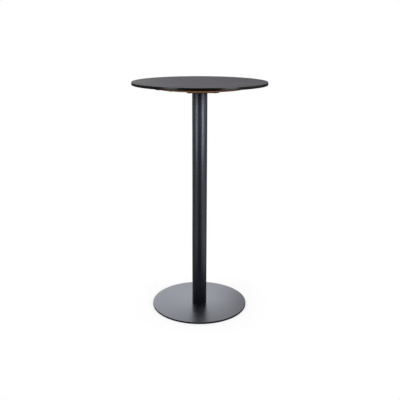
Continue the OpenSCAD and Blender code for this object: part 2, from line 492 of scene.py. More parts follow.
def coating_group():
    """Powder coat: fine pebbles, a slow unevenness and a few dust specks under the coat."""
    tree, entry, leave = new_group(
        "coating_texture", ("Vector", "Pebble Scale"), ("Height", "Mottle", "Speck")
    )
    vector = entry["Vector"]
    scale = entry["Pebble Scale"]
    pebbles = add_node(
        tree,
        "ShaderNodeTexVoronoi",
        {"Vector": vector, "Scale": scale, "Smoothness": 0.8},
        feature="SMOOTH_F1",
    ).outputs["Distance"]
    peel = noise(tree, vector, scale=times(tree, scale, PEEL_SCALE), detail=2.0)
    waves = noise(tree, vector, scale=times(tree, scale, WAVE_SCALE), detail=2.0)
    height = plus(
        tree,
        times(tree, pebbles, PEBBLE_RELIEF),
        times(tree, peel, PEEL_RELIEF),
        times(tree, waves, WAVE_RELIEF),
    )
    specks = add_node(
        tree,
        "ShaderNodeTexVoronoi",
        {"Vector": vector, "Scale": times(tree, scale, SPECK_SCALE), "Randomness": 1.0},
        feature="F1",
    ).outputs
    near = remap(tree, specks["Distance"], 0.03, 0.06, 1.0, 0.0)
    tone = add_node(tree, "ShaderNodeSeparateColor", {0: specks["Color"]}).outputs[0]
    rare = remap(tree, tone, 0.72, 0.74)
    mottle = noise(
        tree, vector, scale=times(tree, scale, MOTTLE_SCALE), detail=5.0, roughness=0.6
    )
    feed(tree, leave, {"Height": height, "Mottle": mottle, "Speck": times(tree, near, rare)})
    return tree


def rim_group():
    """Masks of a disc's eased edges, broken up as by use, and of its upright side."""
    tree, entry, leave = new_group(
        "rim_mask", ("Vector", "Radius", "Low", "High", "Width"), ("Edge", "Side")
    )
    vector = entry["Vector"]
    width = entry["Width"]
    inward = minus(tree, entry["Radius"], radius_of(tree, vector))
    height = height_of(tree, vector)
    above = minus(tree, height, entry["Low"])
    below = minus(tree, entry["High"], height)
    near_face = calculate(tree, "MINIMUM", above, below)
    distance = calculate(tree, "MAXIMUM", inward, near_face)
    worn = times(tree, width, noise(tree, vector, scale=90.0, detail=6.0, roughness=0.7), 2.0)
    for label, start, reach in (("Edge", distance, worn), ("Side", inward, width)):
        part = calculate(tree, "DIVIDE", start, reach)
        feed(tree, leave, {label: calculate(tree, "SUBTRACT", 1.0, part, clamp=True)})
    return tree


def dust_group():
    """Settled dust and wiped smears on an upper surface."""
    tree, entry, leave = new_group("dust_and_smears", ("Vector",), ("Dust", "Smear"))
    vector = entry["Vector"]
    grain = noise(tree, vector, scale=1900.0, detail=2.0, roughness=0.8)
    cloud = noise(tree, vector, scale=7.0, detail=5.0, roughness=0.6)
    dust = times(tree, remap(tree, grain, 0.6, 0.78), remap(tree, cloud, 0.35, 0.7))
    wiped = stretch(tree, vector, (3.0, 22.0, 1.0), turn=0.6)
    smear = noise(tree, wiped, scale=2.2, detail=6.0, roughness=0.65, distortion=0.8)
    feed(tree, leave, {"Dust": dust, "Smear": remap(tree, smear, 0.42, 0.72)})
    return tree


def scratch_group():
    """Short fine lines that lie in three directions."""
    tree, entry, leave = new_group("fine_scratches", ("Vector",), ("Lines",))
    total = 0.0
    for turn in (0.3, 1.5, 2.4):
        lines = stretch(tree, entry["Vector"], (14.0, 900.0, 14.0), turn)
        thin = remap(tree, noise(tree, lines, scale=1.0, detail=1.0), 0.74, 0.78)
        total = calculate(tree, "MAXIMUM", total, thin)
    feed(tree, leave, {"Lines": total})
    return tree


def drawn_group():
    """Fine drawn lines and a cloudy tint, as on plated metal."""
    tree, entry, leave = new_group("drawn_metal", ("Vector",), ("Lines", "Cloud"))
    vector = entry["Vector"]
    drawn = stretch(tree, vector, (600.0, 6000.0, 600.0))
    lines = noise(tree, drawn, scale=1.0, detail=2.0)
    cloud = noise(tree, vector, scale=260.0, detail=4.0, roughness=0.6)
    feed(tree, leave, {"Lines": lines, "Cloud": cloud})
    return tree


GROUPS = {
    "coating": coating_group(),
    "rim": rim_group(),
    "dust": dust_group(),
    "scratch": scratch_group(),
    "drawn": drawn_group(),
}


def use_group(tree, name, inputs):
    return add_node(tree, "ShaderNodeGroup", inputs, node_tree=GROUPS[name]).outputs


def disc_marks(tree, vector, node, width):
    """What discs share: masks of their edges, dust and smears, and fine scratches."""
    low, high, radius = node_size(node)
    edges = {"Vector": vector, "Radius": radius, "Low": low.z, "High": high.z, "Width": width}
    rim = use_group(tree, "rim", edges)
    dust = use_group(tree, "dust", {"Vector": vector})
    lines = use_group(tree, "scratch", {"Vector": vector})["Lines"]
    return rim, dust, lines


def new_material(name, color, roughness, metallic=0.0, specular=0.5):
    """Material, the tree of its nodes, its Principled shader and its Object coordinates."""
    material = bpy.data.materials.new(name)
    material.use_nodes = True
    material.diffuse_color = (*color, 1.0)
    tree = material.node_tree
    shader = tree.nodes["Principled BSDF"]
    feed(tree, shader, {
        "Base Color": (*color, 1.0),
        "Roughness": roughness,
        "Metallic": metallic,
        "Specular IOR Level": specular,
    })
    return material, tree, shader, object_vector(tree)


def finish(tree, shader, color, roughness, relief, height):
    """Feeds a shader with a colour, a roughness and a bump of a given height."""
    bump = add_node(tree, "ShaderNodeBump", {"Height": relief, "Distance": height})
    feed(tree, shader, {
        "Base Color": color, "Roughness": roughness, "Normal": bump.outputs["Normal"]
    })


def tinted(color, factor):
    return tuple(min(1.0, c * factor) for c in color) + (1.0,)


def shades(tree, factor, color, dark, light):
    """Changes between a darker and a lighter shade of a colour."""
    return mix_colors(tree, factor, tinted(color, dark), tinted(color, light))


def laminate_material():
    """Matte charcoal compact laminate with a brown-black, finely sanded core at its rim."""
    face = (0.105, 0.100, 0.113)
    core = (0.0038, 0.0022, 0.0012)
    dust_tone = (0.30, 0.29, 0.28, 1)
    worn_tone = (0.20, 0.19, 0.18, 1)
    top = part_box("tabletop")[1].z
    material, tree, shader, vector = new_material("compact_laminate", face, 0.58, specular=0.3)
    rim, dust, lines = disc_marks(tree, vector, "tabletop", LAMINATE_RIM)
    cloud = noise(tree, vector, scale=9.0, detail=4.0)
    fleck = noise(tree, vector, scale=420.0, detail=3.0, roughness=0.7)
    tone = shades(tree, remap(tree, cloud, *PATCHES), face, 0.94, 1.06)
    flecks = remap(tree, fleck, 0.5, 0.75, 0.0, FLECK_SHARE)
    tone = mix_colors(tree, flecks, tone, tinted(face, 1.4))
    tone = mix_colors(tree, times(tree, dust["Dust"], DUST_SHARE), tone, dust_tone)
    layered = noise(tree, stretch(tree, vector, (30.0, 30.0, 3800.0)), scale=1.0, detail=2.0)
    core_tone = shades(tree, layered, core, 0.7, 1.4)
    decor = remap(tree, height_of(tree, vector), top - 0.35 * MM, top - 0.3 * MM)
    is_side = remap(tree, rim["Side"], 0.02, 0.1)
    is_core = times(tree, is_side, minus(tree, 1.0, decor))
    tone = mix_colors(tree, is_core, tone, core_tone)
    tone = mix_colors(tree, times(tree, rim["Edge"], LAMINATE_WEAR), tone, worn_tone)
    rough = mix_values(tree, dust["Smear"], *LAMINATE_ROUGHNESS)
    rough = minus(tree, rough, times(tree, lines, LAMINATE_SCRATCHES))
    rough = mix_values(tree, is_side, rough, CORE_ROUGHNESS)
    pebbles = add_node(
        tree, "ShaderNodeTexVoronoi", {"Vector": vector, "Scale": 2400.0}, feature="SMOOTH_F1"
    ).outputs["Distance"]
    relief = plus(tree, pebbles, times(tree, lines, -0.4))
    relief = mix_values(tree, is_side, relief, layered)
    finish(tree, shader, tone, rough, relief, height=0.03 * MM)
    return material


def coated_material(
    name, color, roughness, disc=None, metallic=0.0, specular=0.5, tint=(1.0, 1.0, 1.0), ior=1.5,
    shaded_foot=False,
):
    """Satin powder coat on steel; a disc also shows its eased edges, a little dust and a painted
    shade on its upright rim.
    """
    material, tree, shader, vector = new_material(name, color, roughness, metallic, specular)
    feed(tree, shader, {"Specular Tint": (*tint, 1.0), "IOR": ior})
    coat = use_group(tree, "coating", {"Vector": vector, "Pebble Scale": PEBBLE_SCALE})
    mottle = remap(tree, coat["Mottle"], *PATCHES)
    tone = shades(tree, mottle, color, 0.97, 1.03)
    tone = mix_colors(tree, times(tree, coat["Speck"], SPECK_SHARE), tone, tinted(color, 1.6))
    rough = mix_values(tree, mottle, roughness - 0.01, roughness + 0.02)
    if disc:
        dust_tone = (0.35, 0.34, 0.33, 1)
        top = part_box(disc)[1].z
        rim, dust, lines = disc_marks(tree, vector, disc, COAT_RIM)
        # Painted shade: the upright rim of the disc is darkened almost to black
        side = remap(tree, rim["Side"], 0.02, 0.3)
        tone = mix_colors(tree, side, tone, tinted(color, PAINTED_RIM_SHADE))
        tone = mix_colors(tree, times(tree, rim["Edge"], COAT_WEAR), tone, tinted(color, 1.4))
        upward = remap(tree, height_of(tree, vector), top - 0.3 * MM, top - 0.1 * MM)
        settled = times(tree, dust["Dust"], upward, DUST_SHARE)
        tone = mix_colors(tree, settled, tone, dust_tone)
        rough = plus(tree, rough, times(tree, dust["Smear"], COAT_SMEARS))
        rough = minus(tree, rough, times(tree, lines, COAT_SCRATCHES))
        wiped = remap(tree, radius_of(tree, vector), *WIPED_RING, WIPED_SHINE, 0.0)
        rough = minus(tree, rough, wiped)
    # Painted shade near the floor: the column's reflections fade out towards its foot
    if shaded_foot:
        height = height_of(tree, vector)
        gloss = remap(tree, height, *FOOT_HEIGHTS, FOOT_SHADE_GLOSS * specular, specular)
        feed(tree, shader, {"Specular IOR Level": gloss})
    relief = plus(tree, coat["Height"], times(tree, coat["Speck"], SPECK_RELIEF))
    finish(tree, shader, tone, rough, relief, COAT_RELIEF)
    return material


def plywood_material():
    """Brown plywood: long grain on its faces, and plies in turn dark and light on its edge."""
    face = (0.345, 0.176, 0.076)
    low, high, radius = node_size("backing_board")
    material, tree, shader, vector = new_material("plywood", face, 0.55, specular=0.3)
    long_grain = stretch(tree, vector, (3.0, 70.0, 3.0))
    grain = noise(tree, long_grain, scale=4.0, detail=6.0, roughness=0.6, distortion=0.4)
    pores = noise(tree, stretch(tree, vector, (60.0, 1400.0, 60.0)), scale=1.0, detail=2.0)
    tone = shades(tree, remap(tree, grain, *PATCHES), face, 0.72, 1.18)
    open_pores = remap(tree, pores, 0.62, 0.72, 0.0, PORE_SHARE)
    tone = mix_colors(tree, open_pores, tone, tinted(face, 0.5))
    rise = minus(tree, height_of(tree, vector), low.z)
    layer = calculate(tree, "DIVIDE", rise, (high.z - low.z) / PLIES)
    parity = calculate(tree, "PINGPONG", calculate(tree, "FLOOR", layer), 1.0)
    fibres = stretch(tree, vector, (40.0, 40.0, 900.0))
    along_grain = noise(tree, fibres, scale=1.0, detail=4.0, roughness=0.7)
    cut_ends = stretch(tree, vector, (700.0, 700.0, 2600.0))
    across_grain = noise(tree, cut_ends, scale=1.0, detail=3.0, roughness=0.7)
    light_ply = shades(tree, along_grain, face, 0.85, 1.25)
    dark_ply = shades(tree, across_grain, face, 0.40, 0.78)
    edge_tone = mix_colors(tree, parity, light_ply, dark_ply)
    middle = minus(tree, calculate(tree, "FRACT", layer), 0.5)
    glue = remap(tree, calculate(tree, "ABSOLUTE", middle), 0.44, 0.48, 0.0, GLUE_SHARE)
    edge_tone = mix_colors(tree, glue, edge_tone, tinted(face, 0.28))
    inward = minus(tree, radius, radius_of(tree, vector))
    is_edge = remap(tree, inward, 0.75 * MM, 0.45 * MM)
    tone = mix_colors(tree, is_edge, tone, edge_tone)
    rough = mix_values(tree, is_edge, *PLYWOOD_ROUGHNESS)
    relief = mix_values(tree, is_edge, plus(tree, grain, pores), across_grain)
    finish(tree, shader, tone, rough, relief, height=0.08 * MM)
    return material


def metal_material(name, color, tint, roughness):
    """Plated or bare steel or brass with drawn lines and a cloudy tint."""
    material, tree, shader, vector = new_material(name, color, roughness, metallic=1.0)
    metal = use_group(tree, "drawn", {"Vector": vector})
    cloud = remap(tree, metal["Cloud"], 0.35, 0.65)
    tone = mix_colors(tree, cloud, (*color, 1), (*tint, 1))
    rough = mix_values(tree, metal["Lines"], roughness - 0.08, roughness + 0.12)
    finish(tree, shader, tone, rough, metal["Lines"], height=0.01 * MM)
    return material


def plastic_material():
    """Moulded glides: matte, with fine spark-eroded grain."""
    material, tree, shader, vector = new_material("glide_plastic", (0.022, 0.022, 0.023), 0.5)
    grain = noise(tree, vector, scale=2600.0, detail=3.0, roughness=0.7)
    cloud = noise(tree, vector, scale=120.0, detail=3.0)
    tone = mix_colors(tree, cloud, (0.018, 0.018, 0.019, 1), (0.034, 0.033, 0.033, 1))
    rough = mix_values(tree, grain, 0.42, 0.62)
    finish(tree, shader, tone, rough, grain, height=0.04 * MM)
    return material


MATERIALS = {
    "compact_laminate": laminate_material(),
    "plywood": plywood_material(),
    "column_coating": coated_material(
        "column_coating", (0.0045, 0.0047, 0.0062), 0.36, specular=1.0, tint=(0.78, 0.825, 1.0),
        ior=1.6, shaded_foot=True,
    ),
    "base_coating": coated_material(
        "base_coating", (0.283, 0.293, 0.333), 0.33, disc="base_plate", metallic=1.0
    ),
    "black_coated_steel": coated_material(
        "black_coated_steel", (0.005, 0.0042, 0.0037), 0.55, specular=0.15
    ),
    "zinc_steel": metal_material("zinc_steel", (0.60, 0.61, 0.62), (0.52, 0.55, 0.60), 0.34),
    "bare_steel": metal_material("bare_steel", (0.40, 0.39, 0.38), (0.30, 0.28, 0.26), 0.42),
    "brass_insert": metal_material("brass_insert", (0.70, 0.52, 0.24), (0.58, 0.42, 0.20), 0.3),
    "black_oxide_steel": metal_material(
        "black_oxide_steel", (0.055, 0.055, 0.06), (0.035, 0.037, 0.045), 0.36
    ),
    "glide_plastic": plastic_material(),
}


# Pieces

def countersink_cutters(name, places, thread, face, through, upward=True):
    """Cutters of countersunk holes that start flush with a face and run up or down from it."""
    sign = 1 if upward else -1
    rim_depth = HEAD_RIM + SEAT_GAP
    cutters = []
    for index, at in enumerate(places):
        heights = (face - sign * MM, face + sign * rim_depth)
        rim = add_cylinder(
            f"{name}_rim_{index}", thread + SEAT_GAP, min(heights), max(heights), SCREW_SEGMENTS, at
        )
        cone_start = face + sign * (rim_depth - CUTTER_OVERLAP)
        cone_end = cone_start + sign * thread / 2
        radii = (thread + SEAT_GAP, thread / 2 + SEAT_GAP)
        if not upward:
            radii = radii[::-1]
        cone = add_cone(
            f"{name}_cone_{index}", radii[0], radii[1],
            min(cone_start, cone_end), max(cone_start, cone_end), SCREW_SEGMENTS, at,
        )
        ends = (face, face + sign * through)
        shaft = add_cylinder(
            f"{name}_shaft_{index}", thread / 2 + PASS_GAP, min(ends), max(ends),
            SCREW_SEGMENTS, at,
        )
        combine(cone, [rim], "UNION")
        combine(cone, [shaft], "UNION")
        cutters.append(cone)
    return cutters


def round_cutters(name, places, radius, low, high):
    return [
        add_cylinder(f"{name}_{index}", radius, low, high, SCREW_SEGMENTS, at)
        for index, at in enumerate(places)
    ]


def make_disc(name, node, bevel):
    """Round plate with eased edges and a narrow ring of faces inside them."""
    low, high, radius = node_size(node)
    piece = add_cylinder(name, radius, low.z, high.z, ROUND_SEGMENTS)
    start_edit(piece, "EDGE")
    pick_edges(piece, level_edges(low.z, high.z))
    bevel_selected(bevel, segments=4)
    bpy.ops.mesh.select_mode(type="FACE")
    pick_faces(piece, lambda centre, normal: abs(normal.z) > SQUARE)
    bpy.ops.mesh.inset(thickness=FACE_INSET, depth=0)
    end_edit()
    return piece


def make_tabletop():
    piece = make_disc("tabletop_panel", "tabletop", RIM_BEVEL)
    low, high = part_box("top_inserts")
    places = island_centres("top_inserts")
    radius = INSERT_WIDTH / 2 + SEAT_GAP
    cutters = round_cutters("blind", places, radius, low.z - MM, high.z + BLIND_GAP)
    combine(piece, cutters, "DIFFERENCE")
    fit_out(piece, "compact_laminate", "tabletop")


def make_backing_board():
    """Disc built up ply by ply; every second ply stands back a little on the edge."""
    low, high, radius = node_size("backing_board")
    ply = (high.z - low.z) / PLIES
    piece = add_cylinder("backing_board_disc", radius, low.z, low.z + ply, ROUND_SEGMENTS)
    start_edit(piece)
    for layer in range(1, PLIES):
        top = low.z + layer * ply
        pick_faces(
            piece, lambda centre, normal: normal.z > SQUARE and abs(centre.z - top) < SMALL
        )
        change = (radius - PLY_STEP) / radius if layer % 2 else radius / (radius - PLY_STEP)
        grow(0, change, (0, 0), top)
        bpy.ops.mesh.extrude_region_move(TRANSFORM_OT_translate={"value": (0, 0, ply)})
    bpy.ops.mesh.select_mode(type="EDGE")
    pick_edges(piece, level_edges(low.z, high.z))
    bevel_selected(BOARD_BEVEL, segments=3)
    end_edit()
    screws = island_centres("board_screws")
    bolts = island_centres("plate_bolts")
    nut_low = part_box("tee_nuts")[0].z
    barrel = SMALL_THREAD / 2 + BARREL_WALL + 2 * SEAT_GAP
    flange = FLANGE_WIDTH / 2 + SEAT_GAP
    cutters = countersink_cutters("board", screws, SMALL_THREAD, low.z, high.z - low.z + MM)
    combine(piece, cutters, "DIFFERENCE")
    cutters = round_cutters("bolt", bolts, SMALL_THREAD / 2 + PASS_GAP, low.z - MM, high.z + MM)
    combine(piece, cutters, "DIFFERENCE")
    combine(piece, round_cutters("barrel", bolts, barrel, nut_low, high.z + MM), "DIFFERENCE")
    flange_low = high.z - FLANGE_THICKNESS
    combine(piece, round_cutters("flange", bolts, flange, flange_low, high.z + MM), "DIFFERENCE")
    fit_out(piece, "plywood", "backing_board")


def make_mounting_plate():
    """Flat cross: a square pulled out into four arms, with fillets between them."""
    low, high, reach = node_size("mounting_plate")
    half = ARM_WIDTH / 2
    deselect()
    bpy.ops.mesh.primitive_cube_add(size=1, location=(0, 0, (low.z + high.z) / 2))
    bpy.context.object.scale = (ARM_WIDTH, ARM_WIDTH, high.z - low.z)
    piece = settle("mounting_plate_cross")
    start_edit(piece)
    for direction in (Vector((1, 0, 0)), Vector((0, 1, 0)), Vector((-1, 0, 0)), Vector((0, -1, 0))):
        pick_faces(
            piece,
            lambda centre, normal: (
                normal.dot(direction) > SQUARE and abs(centre.dot(direction) - half) < SMALL
                and abs(centre.x * centre.y) < SMALL * SMALL
            ),
        )
        pull = direction * (reach - half)
        bpy.ops.mesh.extrude_region_move(TRANSFORM_OT_translate={"value": tuple(pull)})
    bpy.ops.mesh.select_mode(type="EDGE")
    pick_edges(piece, upright_edges(half, half))
    bevel_selected(ARM_FILLET, segments=16)
    for ends in ((reach, half), (half, reach)):
        pick_edges(piece, upright_edges(*ends))
        bevel_selected(ARM_CORNER, segments=10)
    bpy.ops.mesh.select_all(action="SELECT")
    bpy.ops.mesh.dissolve_limited(angle_limit=FLAT_ANGLE)
    bpy.ops.mesh.select_mode(type="FACE")
    pick_faces(piece, lambda centre, normal: abs(normal.z) > SQUARE)
    bpy.ops.mesh.region_to_loop()
    bevel_selected(PLATE_EDGE, segments=2)
    end_edit()
    bolts = island_centres("plate_bolts")
    heads = island_centres("head_screws")
    cutters = round_cutters("hole", bolts, SMALL_THREAD / 2 + PASS_GAP, low.z - MM, high.z + MM)
    through = high.z - low.z + MM
    cutters += countersink_cutters("plate", heads, PLATE_THREAD, high.z, through, upward=False)
    combine(piece, cutters, "DIFFERENCE")
    fit_out(piece, "black_coated_steel", "mounting_plate")


def make_ring(name, at, outer, inner, low, high, bevel, segments):
    """Tube or washer: an open cylinder given its wall, with eased edges."""
    piece = add_cylinder(name, outer, low, high, segments, at, fill="NOTHING")
    add_modifier(piece, "SOLIDIFY", thickness=outer - inner, offset=-1.0, use_even_offset=True)
    start_edit(piece, "EDGE")
    centre = Vector(at)
    pick_edges(piece, lambda a, b: (
        abs(a.z - b.z) < SMALL
        and abs((a.xy - centre).length - (b.xy - centre).length) < SMALL
    ))
    bevel_selected(bevel, segments=2)
    end_edit()
    return piece


def make_column():
    low, high, radius = node_size("column_tube")
    piece = make_ring(
        "column_pipe", (0, 0), radius, radius - TUBE_WALL, low.z, high.z, TUBE_BEVEL, TUBE_SEGMENTS
    )
    fit_out(piece, "column_coating", "column_tube")


def make_base_plate():
    piece = make_disc("base_plate_disc", "base_plate", BASE_BEVEL)
    low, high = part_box("base_plate")
    screws = island_centres("base_screws")
    cutters = countersink_cutters("base", screws, LARGE_THREAD, low.z, high.z - low.z + MM)
    combine(piece, cutters, "DIFFERENCE")
    return fit_out(piece, "base_coating", "base_plate")


def copy_to_places(first, name, places, direction, slot, node):
    """Finishes a piece and a copy of it at each other place of its node."""
    pieces = [first]
    for index, place in enumerate(places[1:], start=2):
        turn = direction(place) - direction(places[0])
        pieces.append(copy_piece(first, f"{name}_{index}", places[0], place, turn))
    for piece in pieces:
        fit_out(piece, slot, node)


def make_glides():
    """Round plastic glides with an eased foot and a gate dimple in the middle."""
    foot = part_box("floor_glides")[0].z
    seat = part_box("base_plate")[0].z
    places = island_centres("floor_glides")
    radius = GLIDE_WIDTH / 2
    first = add_cylinder("floor_glide_1", radius, foot, seat, SCREW_SEGMENTS, places[0])
    start_edit(first, "EDGE")
    pick_edges(first, lambda a, b: a.z < foot + SMALL and b.z < foot + SMALL)
    bevel_selected(GLIDE_BEVEL, segments=3)
    bpy.ops.mesh.select_mode(type="FACE")
    pick_faces(first, lambda centre, normal: normal.z < -SQUARE)
    bpy.ops.mesh.inset(thickness=radius - GLIDE_BEVEL - GLIDE_DIMPLE, depth=0)
    bpy.ops.mesh.inset(thickness=GLIDE_DIMPLE_WALL, depth=-GLIDE_DIMPLE_DEPTH)
    end_edit()
    copy_to_places(first, "floor_glide", places, around_axis, "glide_plastic", "floor_glides")


def make_socket_screws(name, node, thread, slot):
    """Countersunk socket screws: cone, shank and tip are pulled up from the head's rim."""
    low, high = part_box(node)
    places = island_centres(node)
    at = places[0]
    first = add_cylinder(f"{name}_1", thread, low.z, low.z + HEAD_RIM, SCREW_SEGMENTS, at)
    tip = TIP_SHARE * thread
    level = low.z + HEAD_RIM
    start_edit(first)
    pick_faces(first, lambda centre, normal: normal.z > SQUARE)
    grow(thread / 2, 0.5, at, level)
    grow(high.z - tip - level - thread / 2, 1.0, at, level)
    grow(tip, 1 - 2 * TIP_SHARE, at, level)
    bpy.ops.mesh.select_mode(type="EDGE")
    pick_edges(first, lambda a, b: a.z < low.z + SMALL and b.z < low.z + SMALL)
    bevel_selected(HEAD_BEVEL, segments=2)
    end_edit()
    width = SOCKET_WIDTH * thread / HEX_FLATS
    depth = SOCKET_DEPTH * thread
    turn = around_axis(at) + math.pi / 2
    socket = add_cylinder(
        "socket", width / 2, low.z - MM, low.z + depth, HEX_SIDES, at, turn=turn
    )
    drill = add_cone(
        "drill", DRILL_RADIUS * thread, 0.0, low.z + depth - SMALL,
        low.z + depth + DRILL_DEPTH * thread, SCREW_SEGMENTS, at,
    )
    combine(first, [socket], "DIFFERENCE")
    combine(first, [drill], "DIFFERENCE")
    copy_to_places(first, name, places, around_axis, slot, node)


def make_plate_bolts():
    """Hexagon bolts with chamfered heads."""
    low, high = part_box("plate_bolts")
    head_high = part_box("lock_washers")[0].z
    places = island_centres("plate_bolts")
    at = places[0]
    width = HEX_WIDTH * SMALL_THREAD
    radius = width / 2 / HEX_FLATS
    turn = arm_turn(at) + math.pi / 2
    height = head_high - low.z
    first = add_cylinder("plate_bolt_1", radius, low.z, head_high, HEX_SIDES, at, turn=turn)
    chamfer = add_cone(
        "chamfer", width / 2, width / 2 + height, low.z, head_high, SCREW_SEGMENTS, at
    )
    combine(first, [chamfer], "INTERSECT")
    shank = add_cylinder(
        "shank", SMALL_THREAD / 2, head_high - height / 2, high.z, SCREW_SEGMENTS, at
    )
    start_edit(shank, "EDGE")
    pick_edges(shank, lambda a, b: a.z > high.z - SMALL and b.z > high.z - SMALL)
    bevel_selected(TIP_SHARE * SMALL_THREAD, segments=1)
    end_edit()
    combine(first, [shank], "UNION")
    copy_to_places(first, "plate_bolt", places, arm_turn, "zinc_steel", "plate_bolts")


def make_plate_washers():
    low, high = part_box("plate_washers")
    places = island_centres("plate_washers")
    inner = SMALL_THREAD / 2 + PASS_GAP
    first = make_ring(
        "plate_washer_1", places[0], SMALL_THREAD, inner, low.z, high.z, WASHER_BEVEL,
        SCREW_SEGMENTS,
    )
    copy_to_places(first, "plate_washer", places, arm_turn, "zinc_steel", "plate_washers")


def make_lock_washers():
    """Spring washers with a slanted slit."""
    low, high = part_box("lock_washers")
    places = island_centres("plate_bolts")
    at = places[0]
    turn = arm_turn(at)
    outer = HEX_WIDTH * SMALL_THREAD / 2
    inner = SMALL_THREAD / 2 + PASS_GAP
    first = make_ring(
        "lock_washer_1", at, outer, inner, low.z, high.z, WASHER_BEVEL / 2, SCREW_SEGMENTS
    )
    deselect()
    bpy.ops.mesh.primitive_cube_add(size=1, location=(0, 0, 0))
    slit = bpy.context.object
    shape = Matrix.Diagonal((2 * outer, SLIT_WIDTH, 4 * (high.z - low.z), 1))
    place = (
        Matrix.Translation((at[0], at[1], (low.z + high.z) / 2))
        @ Matrix.Rotation(turn, 4, "Z")
        @ Matrix.Translation((outer, 0, 0))
        @ Matrix.Rotation(SLIT_SLANT, 4, "X")
    )
    slit.data.transform(place @ shape)
    combine(first, [slit], "DIFFERENCE")
    copy_to_places(first, "lock_washer", places, arm_turn, "zinc_steel", "lock_washers")


# Nodes inside the table, which no view shows
KEPT_NODES = ("top_inserts", "tee_nuts", "head_disc", "head_screws", "foot_disc")


def dress_kept_nodes():
    """Construction nodes that keep their own shape get the detailed materials."""
    for part in frame["record"]["subparts"]:
        if part["node"] in KEPT_NODES:
            for holder in frame["nodes"][part["node"]].material_slots:
                holder.material = MATERIALS[part["material_slot"]]


make_tabletop()
make_backing_board()
make_mounting_plate()
make_column()
base_plate = make_base_plate()
make_glides()
make_socket_screws("board_screw", "board_screws", SMALL_THREAD, "zinc_steel")
make_socket_screws("base_screw", "base_screws", LARGE_THREAD, "black_oxide_steel")
make_plate_bolts()
make_plate_washers()
make_lock_washers()
dress_kept_nodes()


# Floor, light and camera

FLOOR_WHITE = 0.86
FLOOR_SIZE = 60.0
# The camera sees the floor's soft shadow, which fades to plain white between these radii
CLEAR_RADIUS = 0.25
WHITE_RADIUS = 0.75
SHADOW_SHARE = 0.45
NEAR_WHITE = 1.2
# Light that bounces within this distance passes the floor, so the base's underside isn't black
UNDERSIDE_GAP = 12 * MM
# Brightness of the room for matte surfaces, and of its parts in reflections
ROOM_LIGHT = 0.55
FRONT_LEVEL = 0.05
FRONT_HIGH_LEVEL = 0.36
BACK_LEFT_LEVEL = 0.36
BACK_RIGHT_LEVEL = 0.19
RIGHT_LEVEL = 0.45
LEFT_LEVEL = 0.22
# Where these parts change, as shares of the direction to the back, right, side or height
TO_BACK = (0.1, 0.5)
LEFT_TO_RIGHT = (-0.4, 0.4)
TO_SIDE = (0.75, 0.92)
TO_HIGH = (0.08, 0.3)
# Painted light and shade on the floor, seen only in reflections: its tones near the table and
# further in front, behind it, at its sides, and in the painted strips of light under the softboxes
FLOOR_NEAR_SHADE = 0.02
FLOOR_FRONT = 0.062
FLOOR_BACK = 0.12
FLOOR_LEFT = 0.22
FLOOR_RIGHT = 0.55
FLOOR_LIT_STRIP = 0.62
# Where these tones change: metres from the column, or shares of the direction from it
FRONT_DISTANCE = (0.4, 1.2)
STRIP_DISTANCE = (0.2, 0.5)
STRIP_INNER_EDGE = (0.50, 0.65)
STRIP_OUTER_EDGE = (0.92, 0.80)
STRIP_BACK_EDGE = (-0.1, -0.4)
SIDE_DISTANCE = (0.15, 0.45)
SIDE_FRONT_EDGE = (-0.55, -0.33)
SIDE_BACK_EDGE = (0.6, 0.25)
FLOOR_LEFT_TO_RIGHT = (-0.3, 0.3)
# Softboxes, one left and one right of the camera
SOFTBOX_HEIGHT = 1.5
SOFTBOX_CENTRE = 1.45
LEFT_BOX_PLACE = (-2.014, -1.945)
LEFT_BOX_WIDTH = 1.0
LEFT_BOX_LEVEL = 3.9
RIGHT_BOX_PLACE = (2.097, -1.855)
RIGHT_BOX_WIDTH = 1.15
RIGHT_BOX_LEVEL = 4.9
TOP_LIGHT_HEIGHT = 2.9
TOP_LIGHT_SIZE = 2.6
TOP_LIGHT_LEVEL = 0.75
# Panels behind the table
HIGH_PANEL_PLACE = (-0.7, 0.9, 1.5)
HIGH_PANEL_WIDTH = 1.0
HIGH_PANEL_HEIGHT = 0.5
HIGH_PANEL_LEVEL = 1.0
BACK_PANEL_PLACE = (-0.4, 1.2, 0.4)
BACK_PANEL_WIDTH = 1.5
BACK_PANEL_HEIGHT = 0.8
BACK_PANEL_LEVEL = 0.92


def turned(x, y, z):
    """Point or direction given as the camera sees it: to the right, to the back, up."""
    return Matrix.Rotation(VIEW_TURN, 4, "Z") @ Vector((x, y, z))


def along(tree, vector, direction):
    return add_node(
        tree, "ShaderNodeVectorMath", {0: vector, 1: direction}, operation="DOT_PRODUCT"
    ).outputs["Value"]


def mirrored_floor(tree, place):
    """Painted light and shade of the floor in reflections, by the direction from the column and the
    distance.
    """
    distance = radius_of(tree, place)
    depth = calculate(tree, "DIVIDE", along(tree, place, turned(0, 1, 0)), distance)
    right = calculate(tree, "DIVIDE", along(tree, place, turned(1, 0, 0)), distance)
    side = calculate(tree, "ABSOLUTE", right)
    front = remap(tree, distance, *FRONT_DISTANCE, FLOOR_NEAR_SHADE, FLOOR_FRONT)
    tone = mix_values(tree, remap(tree, depth, *TO_BACK), front, FLOOR_BACK)
    # Painted light: bright strips where the softboxes would light the floor
    painted_light_strips = times(
        tree,
        remap(tree, side, *STRIP_INNER_EDGE),
        remap(tree, side, *STRIP_OUTER_EDGE),
        remap(tree, depth, *STRIP_BACK_EDGE),
        remap(tree, distance, *STRIP_DISTANCE, 0.0, FLOOR_LIT_STRIP),
    )
    sides = times(
        tree,
        remap(tree, depth, *SIDE_FRONT_EDGE),
        remap(tree, depth, *SIDE_BACK_EDGE),
        remap(tree, right, *FLOOR_LEFT_TO_RIGHT, FLOOR_LEFT, FLOOR_RIGHT),
        remap(tree, distance, *SIDE_DISTANCE),
    )
    return plus(tree, tone, painted_light_strips, sides)


